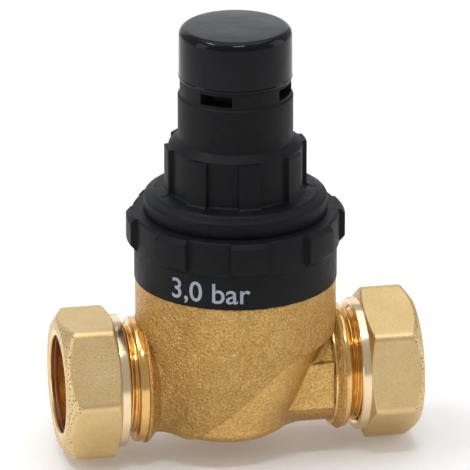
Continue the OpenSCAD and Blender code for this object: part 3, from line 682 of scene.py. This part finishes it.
def build_nut(side, label, turn_deg):
    """A forged hexagon with rounded edges, and the turned spigot, thread and mouth in it."""
    segments = 312
    theta = np.linspace(0, 2 * math.pi, segments, endpoint=False)
    x0, x1 = NUT_INNER, HALF_LEN
    spigot = x0 + SPIGOT_LEN
    hexagon = rounded_hexagon(theta - math.radians(turn_deg), NUT_FLAT_R, EDGE_ROUNDING)
    side_x = np.concatenate([
        np.linspace(spigot + 0.02, spigot + 1.4, 9),
        np.linspace(spigot + 1.4, x1 - 3.0, 16)[1:],
        np.linspace(x1 - 3.0, x1, 18)[1:],
    ])
    cone_in = NUT_FLAT_R - 0.25 + (side_x - spigot) * 2.6
    cone_out = FACE_R + (x1 - side_x) * FACE_SLOPE
    limit = soft_min(cone_in, cone_out, 0.5)
    hull = soft_min(np.repeat(hexagon[:, None], len(side_x), 1), np.repeat(limit[None], segments, 0), 0.7)
    face = [(12.35, x1 - 0.005), (12.25, x1 - 0.1), (12.25, x1 - 1.2), (14.2, x1 - 3.2),
            (14.2, spigot + 0.02)]
    cols = [(0, x) for x in side_x] + [(0, x1 - 0.005)] + face
    rz = np.repeat(np.array(cols, float)[None], segments, 0).copy()
    n = len(side_x)
    rz[:, :n, 0] = hull
    rz[:, n, 0] = hull[:, -1] - 0.35
    forging = swept(label + "_nut_forging", rz, theta, MATERIALS["nut_brass"], "x", side, 38)
    pts = local_points(forging)
    tube_r = np.hypot(pts[:, 1], pts[:, 2])
    edge = np.abs(tube_r - (FACE_R + (x1 - side * pts[:, 0]) * FACE_SLOPE)) < 0.45
    paint(forging, "trim", edge)

    outer = [
        (14.0, x0 + 0.02), (14.75, x0), (14.95, x0 + 0.05), (15.18, x0 + 0.3), (15.2, x0 + 0.4),
        (15.2, spigot + 0.3), (14.3, spigot + 0.3), (14.3, x1 - 3.1), (12.4, x1 - 1.3), (12.4, x1),
        (11.6, x1), (11.52, x1 - 0.03), (11.27, x1 - 0.25), (11.2, x1 - 0.35), (11.2, x1 - 0.7),
        (11.3, x1 - 0.8), (11.3, x1 - 1.1), (11.2, x1 - 1.2), (11.2, x1 - 1.7), (11.3, x1 - 1.8),
        (13.2, x1 - 3.7),
    ]
    thread_x = np.arange(x1 - 4.0, x0 + 0.9, -THREAD_PITCH / 12)
    inner = [(13.2, x) for x in thread_x]
    prof = np.array(outer + inner + [(13.2, x0 + 0.7), (13.8, x0 + 0.08)], float)
    rz = np.repeat(prof[None], segments, 0).copy()
    sl = slice(len(outer), len(outer) + len(inner))
    ease = np.clip((x1 - 4.0 - rz[:, sl, 1]) / 1.0, 0, 1)
    rz[:, sl, 0] += 0.55 * thread_wave(rz[:, sl, 1], theta, x0, side) * ease
    turned = swept(label + "_nut_turned", rz, theta, MATERIALS["turned_brass"], "x", side, 30)
    pts = local_points(turned)
    tube_r, along = np.hypot(pts[:, 1], pts[:, 2]), side * pts[:, 0]
    # Marks the bore inside the mouth, where the turned material paints shade as a darker copper brown.
    paint(turned, "bore", (tube_r < 13.3) & (along < x1 - 0.3) & (along > x1 - 8))
    paint(turned, "pale", tube_r > 14)
    for piece, slot in ((forging, "nut_brass"), (turned, "turned_brass")):
        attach(piece, label + "_gland")
        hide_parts(label + "_nut")


# -------------------------------------------------------------------- bonnet

def build_carrier():
    """Label band, lugged ring and the threaded spigot in the cup."""
    low, label_top = CUP_TOP, CUP_TOP + 7.7
    top = RING_TOP
    theta, (share,) = around([(8, -3.1, 9.0, 24.8, 0.28)])

    def profile(low_r, low_z, top_z, top_r, top_round):
        return rounded([
            (17.9, top - 0.01, 0), (17.9, 34.1, 0), (15.5, 34.1, 0), (15.5, 16.2, 0), (19.1, 16.2, 0),
            (19.1, low, 0), (22.98, low, 0.12), (22.98, label_top - 0.05, 0),
            (23.05, label_top, 0), (low_r, low_z, 0.25), (low_r, top_z, top_round), (top_r, top, 0.15),
        ], 4)

    base = profile(23.5, label_top + 0.5, top - 0.45, 23.1, 0.25)
    lug = profile(24.78, label_top + 1.9, top - 1.2, 23.75, 0.35)
    rz = base[None] * (1 - share[:, None, None]) + lug[None] * share[:, None, None]
    obj = swept("carrier_moulding", rz, theta, MATERIALS["bonnet_plastic"], "z", 1, 42)
    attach(obj, BODY)
    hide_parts("cartridge_carrier")


def build_housing():
    """Flange, lugged ring, barrel with its windowed band, and the spigot under the cap."""
    z0 = RING_TOP
    ring_base = z0 + 5.2
    ring_top = ring_base + 10.5
    barrel_r, band_r, spigot_r = 13.0, 12.55, 10.85
    band_z = BARREL_TOP - 4.0
    win_lo, win_hi = BARREL_TOP - 3.3, BARREL_TOP - 0.8
    theta, (lug_share, win_share) = around([
        (8, 0.9, 5.2, 16.1, 0.2),
        (4, -32, 7.4, 12.6, 0.12),
    ])

    def profile(lug, window):
        out = 16.1 if lug else 15.1
        pocket = 9.3 if window else band_r
        return rounded([
            (9.2, housing_hi[2], 0), (9.2, BARREL_TOP - 4.8, 0), (10.8, BARREL_TOP - 7.8, 0),
            (10.8, z0 + 0.2, 0), (13.4, z0 - 2, 0), (13.4, housing_lo[2], 0),
            (17.8, housing_lo[2], 0), (17.8, z0, 0), (20.8, z0, 0.15), (20.8, z0 + 3.5, 1.0),
            (18.9, z0 + 4.35, 0.3), (18.5, z0 + 4.75, 0.3),
            (out + 0.5, ring_base - 0.02, 0.3), (out, ring_base + 0.4, 0.2),
            (out, ring_top - 0.15, 0.15), (out - 0.1 if lug else 15.0, ring_top, 0.1),
            (15.0, ring_top + 0.05, 0.1), (barrel_r + 0.15, ring_top + 1.55, 0.3),
            (barrel_r, ring_top + 1.9, 0.2), (barrel_r, band_z - 0.25, 0.15), (band_r, band_z + 0.1, 0.1),
            (band_r, win_lo, 0), (pocket, win_lo + 0.02, 0), (pocket, win_hi - 0.02, 0), (band_r, win_hi, 0),
            (band_r, BARREL_TOP, 0.1), (spigot_r, BARREL_TOP, 0), (spigot_r, housing_hi[2], 0.4),
        ], 4)

    base, lug, window = profile(False, False), profile(True, False), profile(False, True)
    lug_w, win_w = lug_share[:, None, None], win_share[:, None, None]
    rz = base[None] + (lug - base)[None] * lug_w + (window - base)[None] * win_w
    obj = swept("housing_moulding", rz, theta, MATERIALS["bonnet_plastic"], "z", 1, 42)
    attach(obj, BODY)
    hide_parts("spring_housing")


def build_cap():
    """The glossy cap, with a small lip at its rim."""
    inner_r, r = 10.9, 12.78
    z0, z1 = BARREL_TOP, CAP_TOP
    obj = lathe("cap_moulding", [
        (0.01, z1 - 0.01, 0), (0.01, z1 - 1.7, 0), (inner_r, z1 - 1.7, 0.8), (inner_r, z0 + 0.03, 0.1),
        (r + 0.05, z0 + 0.01, 0.12), (r + 0.11, z0 + 0.4, 0.15), (r + 0.02, z0 + 0.75, 0.2),
        (r - 0.05, z1 - 0.2, 1.9), (6.0, z1 - 0.02, 0),
    ], MATERIALS["cap_plastic"], "z", 1, 160, 8)
    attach(obj, "cap")
    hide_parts("protective_cap")


def build_label():
    """The set pressure printed on the label band: text bent round the band as a thin raised layer."""
    curve = bpy.data.curves.new("label_text", "FONT")
    curve.body = "3,0 bar"
    curve.size = 1.0
    curve.offset = 0.008
    curve.resolution_u = 6
    text = bpy.data.objects.new("label_text", curve)
    bpy.context.scene.collection.objects.link(text)
    flat = bpy.data.meshes.new_from_object(text.evaluated_get(bpy.context.evaluated_depsgraph_get()))
    bpy.data.objects.remove(text)
    bm = bmesh.new()
    bm.from_mesh(flat)
    bmesh.ops.triangulate(bm, faces=bm.faces)
    xs = [v.co.x for v in bm.verts]
    left, width = min(xs), max(xs) - min(xs)
    tall = max(v.co.y for v in bm.verts)
    cuts = 60
    for k in range(1, cuts):
        bmesh.ops.bisect_plane(bm, geom=bm.verts[:] + bm.edges[:] + bm.faces[:],
                               plane_co=(left + width * k / cuts, 0, 0), plane_no=(1, 0, 0), dist=1e-5)
    bmesh.ops.remove_doubles(bm, verts=bm.verts, dist=1e-5)
    thick = bmesh.ops.extrude_face_region(bm, geom=bm.faces[:])
    top = [g for g in thick["geom"] if isinstance(g, bmesh.types.BMVert)]
    for v in top:
        v.co.z += 1.0
    start, end = math.radians(-49.0), math.radians(-2.6)
    base_r, layer = 22.95, 0.09
    z_low, z_high = CUP_TOP + 1.6, CUP_TOP + 6.3
    for v in bm.verts:
        a = start + (end - start) * (v.co.x - left) / width
        r = base_r + layer * v.co.z
        z = z_low + (z_high - z_low) * v.co.y / tall
        v.co = Vector((AXIS_X + r * math.sin(a), -r * math.cos(a), z)) * MM
    bmesh.ops.recalc_face_normals(bm, faces=bm.faces)
    mesh = bpy.data.meshes.new("label_print")
    bm.to_mesh(mesh)
    bm.free()
    bpy.data.meshes.remove(flat)
    mesh.materials.append(MATERIALS["label_ink"])
    obj = bpy.data.objects.new("label_print", mesh)
    bpy.context.scene.collection.objects.link(obj)
    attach(obj, BODY)


# ------------------------------------------------------------------- the rest

def build_spring():
    """The main spring in two halves, split at mid height."""
    lo, hi = node_box("main_spring")
    wire_r, turns, per_turn, sides = 1.5, 9.5, 40, 14
    mid_r = hi[1] - wire_r
    closed = wire_r * 2.06
    rise = hi[2] - lo[2] - 2 * wire_r
    free = (rise - 2 * closed) / (turns - 2)
    t = np.linspace(0, turns, int(turns * per_turn) + 1)
    up = np.interp(t, [0, 1, turns - 1, turns], [0, closed, closed + free * (turns - 2), rise])
    a, b = 2 * math.pi * t[:, None], 2 * math.pi * np.arange(sides)[None] / sides
    r = mid_r + wire_r * np.cos(b)
    pts = np.stack([r * np.cos(a), r * np.sin(a), (lo[2] + wire_r + up)[:, None] + wire_r * np.sin(b)], -1)
    middle = len(t) // 2
    halves = (
        ("spring_lower_half", pts[:middle + 1], "stem", lo[2] + closed, -1.6),
        ("spring_upper_half", pts[middle:], "spring_plate", hi[2] - closed, 1.6),
    )
    for name, rows, end_body, end_z, gap in halves:
        n = len(rows)
        ring = np.arange(sides)
        faces = [(i + k, i + (k + 1) % sides, i + sides + (k + 1) % sides, i + sides + k)
                 for i in range(0, (n - 1) * sides, sides) for k in range(sides)]
        faces += [tuple(ring[::-1].tolist()), tuple((ring + (n - 1) * sides).tolist())]
        half = make_object(name, rows.reshape(-1, 3), faces, MATERIALS["spring_steel"])
        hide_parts("main_spring")
        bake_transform(half)


def build_diaphragm():
    """The diaphragm in twelve sectors."""
    lo, hi = node_box("diaphragm")
    rim_r, low = hi[1], lo[2]
    bore_r, hub_r, roll_mid_r, roll_r, roll_out = 2.04, 11.6, 13.55, 14.6, 15.1
    thick, drop = 1.2, 1.0
    roll = np.radians(np.linspace(0, 180, 13))
    under = [(roll_mid_r - 0.85 * math.cos(g), low + drop + 0.54 * math.sin(g)) for g in roll]
    over = [(roll_mid_r + 1.4 * math.cos(g), low + drop + thick + 0.93 * math.sin(g)) for g in roll[1:-1]]
    prof = np.array([(bore_r, low), (6.0, low), (hub_r, low)] + under + [
        (rim_r, low + drop), (rim_r, low + drop + thick), (roll_out, low + drop + thick)] + over + [
        (12.0, low + thick), (6.0, low + thick), (bore_r, low + thick)])
    n, count, steps = len(prof), 12, 6
    for k in range(count):
        mid = 2 * math.pi * k / count
        ang = mid + np.linspace(-math.pi / count, math.pi / count, steps + 1)
        pts = np.stack([np.outer(np.cos(ang), prof[:, 0]), np.outer(np.sin(ang), prof[:, 0]),
                        np.tile(prof[:, 1], (steps + 1, 1))], -1)
        faces = [(i * n + j, i * n + (j + 1) % n, (i + 1) * n + (j + 1) % n, (i + 1) * n + j)
                 for i in range(steps) for j in range(n)]
        faces += [tuple(range(n - 1, -1, -1)), tuple(range(steps * n, (steps + 1) * n))]
        name = f"diaphragm_sector_{k + 1:02d}"
        sector = make_object(name, pts.reshape(-1, 3), faces, MATERIALS["seal_rubber"])
        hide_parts("diaphragm")
        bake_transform(sector)


def dress_inner_nodes():
    """Every CAD node gets its slot's material, seen where no piece replaces it."""
    slots = {s["node"]: s["material_slot"] for s in frame["record"]["subparts"]}
    for name, obj in frame["nodes"].items():
        obj.data.materials.clear()
        obj.data.materials.append(MATERIALS[slots[name]])


def build_stage():
    m, nt, bsdf, at = shader("floor_paper", Metallic=0.0, Roughness=0.9, Emission_Color=(1, 1, 1, 1),
                             Emission_Strength=0.1)
    tone = ramp(nt, noise(nt, at, 0.01, 2, 0.5), [(0.3, (0.90, 0.90, 0.90)), (0.7, (0.92, 0.92, 0.92))])
    nt.links.new(tone, bsdf.inputs["Base Color"])
    size = 6.0
    mesh = bpy.data.meshes.new("floor")
    z = FLOOR_Z - 0.0002
    corners = [(-size, -size, z), (size, -size, z), (size, size, z), (-size, size, z)]
    mesh.from_pydata(corners, [], [(0, 1, 2, 3)])
    floor = bpy.data.objects.new("floor", mesh)
    mesh.materials.append(m)
    bpy.context.scene.collection.objects.link(floor)


def area_light(name, place, target, size, power, size_y):
    """A rectangular light, in metres and watts, facing target."""
    data = bpy.data.lights.new(name, "AREA")
    data.shape = "RECTANGLE"
    data.size = size
    data.size_y = size_y
    data.energy = power
    obj = bpy.data.objects.new(name, data)
    obj.location = place
    obj.rotation_mode = "QUATERNION"
    obj.rotation_quaternion = (Vector(target) - Vector(place)).to_track_quat("-Z", "Y")
    bpy.context.scene.collection.objects.link(obj)


def build_lights():
    """Soft panels and two narrow strips in a pale grey room a little darker in front."""
    world = bpy.data.worlds.new("studio")
    bpy.context.scene.world = world
    world.use_nodes = True
    nt = world.node_tree
    back = nt.nodes["Background"]
    coord = nt.nodes.new("ShaderNodeTexCoord")
    split = nt.nodes.new("ShaderNodeSeparateXYZ")
    nt.links.new(coord.outputs["Generated"], split.inputs[0])
    depth = spread(nt, split.outputs["Y"], 0.0, 1.0, -1.0, 1.0)
    sky = ramp(nt, depth, [(0.1, (0.44, 0.44, 0.45)), (0.9, (0.50, 0.51, 0.53))])
    nt.links.new(sky, back.inputs["Color"])
    back.inputs["Strength"].default_value = 1.0
    middle = (AXIS_X * MM, 0, 0.03)
    area_light("top_panel", (AXIS_X * MM, 0.15, 0.95), middle, 1.0, 2.6, 0.8)
    area_light("left_panel", (-0.95, -0.10, 0.35), middle, 0.45, 1.9, 0.8)
    area_light("right_panel", (0.95, -0.05, 0.35), middle, 0.45, 1.5, 0.8)
    area_light("back_panel", (0.05, 1.1, 0.42), middle, 1.3, 1.6, 0.7)
    area_light("left_strip", (-0.40, 0.04, 0.82), middle, 0.30, 1.5, 0.04)
    area_light("front_strip", (0.04, -0.34, 0.88), middle, 0.30, 1.5, 0.04)


def build_camera():
    """A long lens at the photograph's angle: 11 degrees round to the inlet side and 21 degrees up."""
    azimuth, elevation = math.radians(-11.0), math.radians(21.0)
    distance = 1.5
    target = Vector((AXIS_X * MM - 0.0001, 0, 0.0333))
    back = Vector((math.sin(azimuth) * math.cos(elevation), -math.cos(azimuth) * math.cos(elevation),
                   math.sin(elevation)))
    data = bpy.data.cameras.new("camera")
    data.sensor_width = 36
    data.lens = 507.8
    data.clip_start, data.clip_end = 0.1, 30
    cam = bpy.data.objects.new("camera", data)
    cam.location = target + back * distance
    cam.rotation_mode = "QUATERNION"
    cam.rotation_quaternion = (-back).to_track_quat("-Z", "Y")
    bpy.context.scene.collection.objects.link(cam)
    bpy.context.scene.camera = cam


dress_inner_nodes()
build_casting()
for end_side, end_name, end_turn in ((-1, "inlet", 28.5), (1, "outlet", -9.6)):
    build_end(end_side, end_name)
    build_nut(end_side, end_name, -end_turn)
build_carrier()
build_housing()
build_cap()
build_label()
build_spring()
build_diaphragm()
build_stage()
build_lights()
build_camera()

bpy.context.scene.view_settings.view_transform = "Standard"
